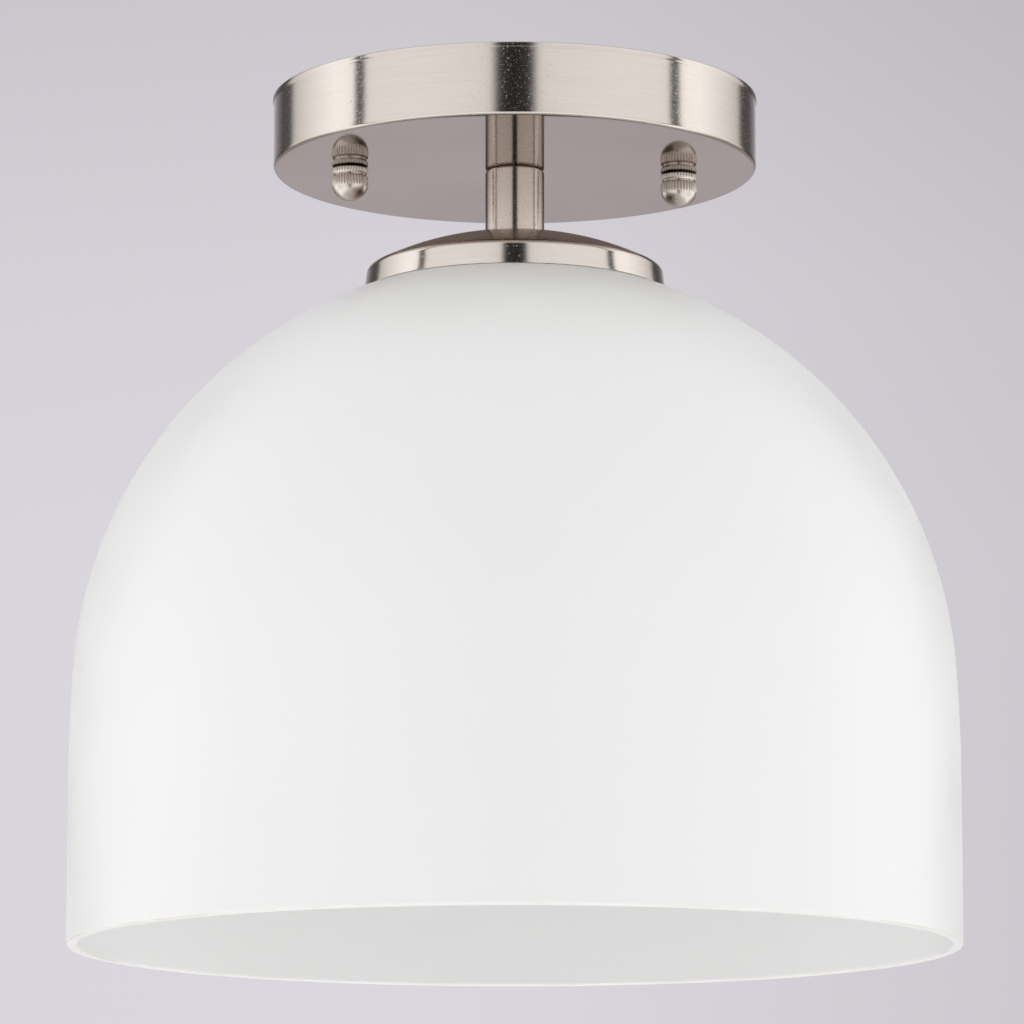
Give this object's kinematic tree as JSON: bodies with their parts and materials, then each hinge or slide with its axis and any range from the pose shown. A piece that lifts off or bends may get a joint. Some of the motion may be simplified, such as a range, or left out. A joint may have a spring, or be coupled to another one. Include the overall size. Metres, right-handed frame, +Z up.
{
  "type": "flush mount ceiling light",
  "caption": "Ceiling light: round canopy with knurled cap nuts, short stem, spun cap and an open opal glass dome over a screw-shell lampholder.",
  "frame": {"origin": "centre of the crossbar's upper face, in the ceiling plane", "axes": "+Z up into the ceiling; +X along the crossbar, through the two cap nuts; the light hangs towards -Z"},
  "size_m": [0.2356, 0.2356, 0.229],
  "materials": {
    "nickel": "brushed satin nickel plate over steel",
    "zinc": "bright zinc plate",
    "ground_green": "green lacquered steel",
    "opal_glass": "satin etched opal white glass",
    "porcelain": "white glaze",
    "brass": "plain brass",
    "nickel_brass": "nickel plated brass",
    "gasket": "translucent white silicone",
    "bushing": "black moulded plastic",
    "ring": "turned aluminium"
  },
  "bodies": {
    "bracket": {"crossbar": "zinc", "canopy_stud_left": "zinc", "canopy_stud_right": "zinc", "stud_lock_nuts": "zinc", "ground_screw": "ground_green"},
    "canopy": {"canopy": "nickel", "threaded_nipple": "zinc", "nipple_hex_nut": "zinc", "lock_washer": "zinc", "wire_bushing": "bushing", "stem": "nickel", "shade_cap": "nickel", "lampholder_hub": "zinc", "hub_set_screw": "zinc", "hub_screws": "zinc", "lampholder_body": "porcelain", "screw_shell": "nickel_brass", "shell_rivets": "brass", "terminal_plate_line": "brass", "terminal_plate_neutral": "nickel_brass", "terminal_screw_line": "brass", "terminal_screw_neutral": "zinc", "contact_foot": "brass", "contact_rivet": "brass"},
    "left_nut": {"cap_nut_left": "nickel"},
    "right_nut": {"cap_nut_right": "nickel"},
    "shade": {"glass_shade": "opal_glass", "shade_gasket": "gasket"},
    "ring": {"shade_ring": "ring"},
    "contact": {"contact_tongue": "brass"}
  },
  "joints": [
    {"name": "canopy_lower", "type": "slide", "parent": "bracket", "child": "canopy", "axis": [0, 0, -1], "range_m": [0, 0.00635]},
    {"name": "left_nut_turn", "type": "hinge", "parent": "canopy", "child": "left_nut", "pos_m": [-0.04445, 0, -0.0192], "axis": [0, 0, -1], "range_deg": [0, 2881]},
    {"name": "right_nut_turn", "type": "hinge", "parent": "canopy", "child": "right_nut", "pos_m": [0.04445, 0, -0.0192], "axis": [0, 0, -1], "range_deg": [0, 2881]},
    {"name": "shade_lower", "type": "slide", "parent": "canopy", "child": "shade", "axis": [0, 0, -1], "range_m": [0, 0.025]},
    {"name": "ring_turn", "type": "hinge", "parent": "shade", "child": "ring", "pos_m": [0, 0, -0.0528], "axis": [0, 0, -1], "range_deg": [0, 3601]},
    {"name": "contact_flex", "type": "hinge", "parent": "canopy", "child": "contact", "pos_m": [-0.00345, 0, -0.05415], "axis": [0, -1, 0], "range_deg": [0, 20], "stiffness_Nm_per_rad": 0.01}
  ],
  "couplings": [
    {"joint": "left_nut_turn", "follows": "canopy_lower", "rad_per_m": 7915.8},
    {"joint": "right_nut_turn", "follows": "canopy_lower", "rad_per_m": 7915.8},
    {"joint": "ring_turn", "follows": "shade_lower", "rad_per_m": 2513.3}
  ]
}
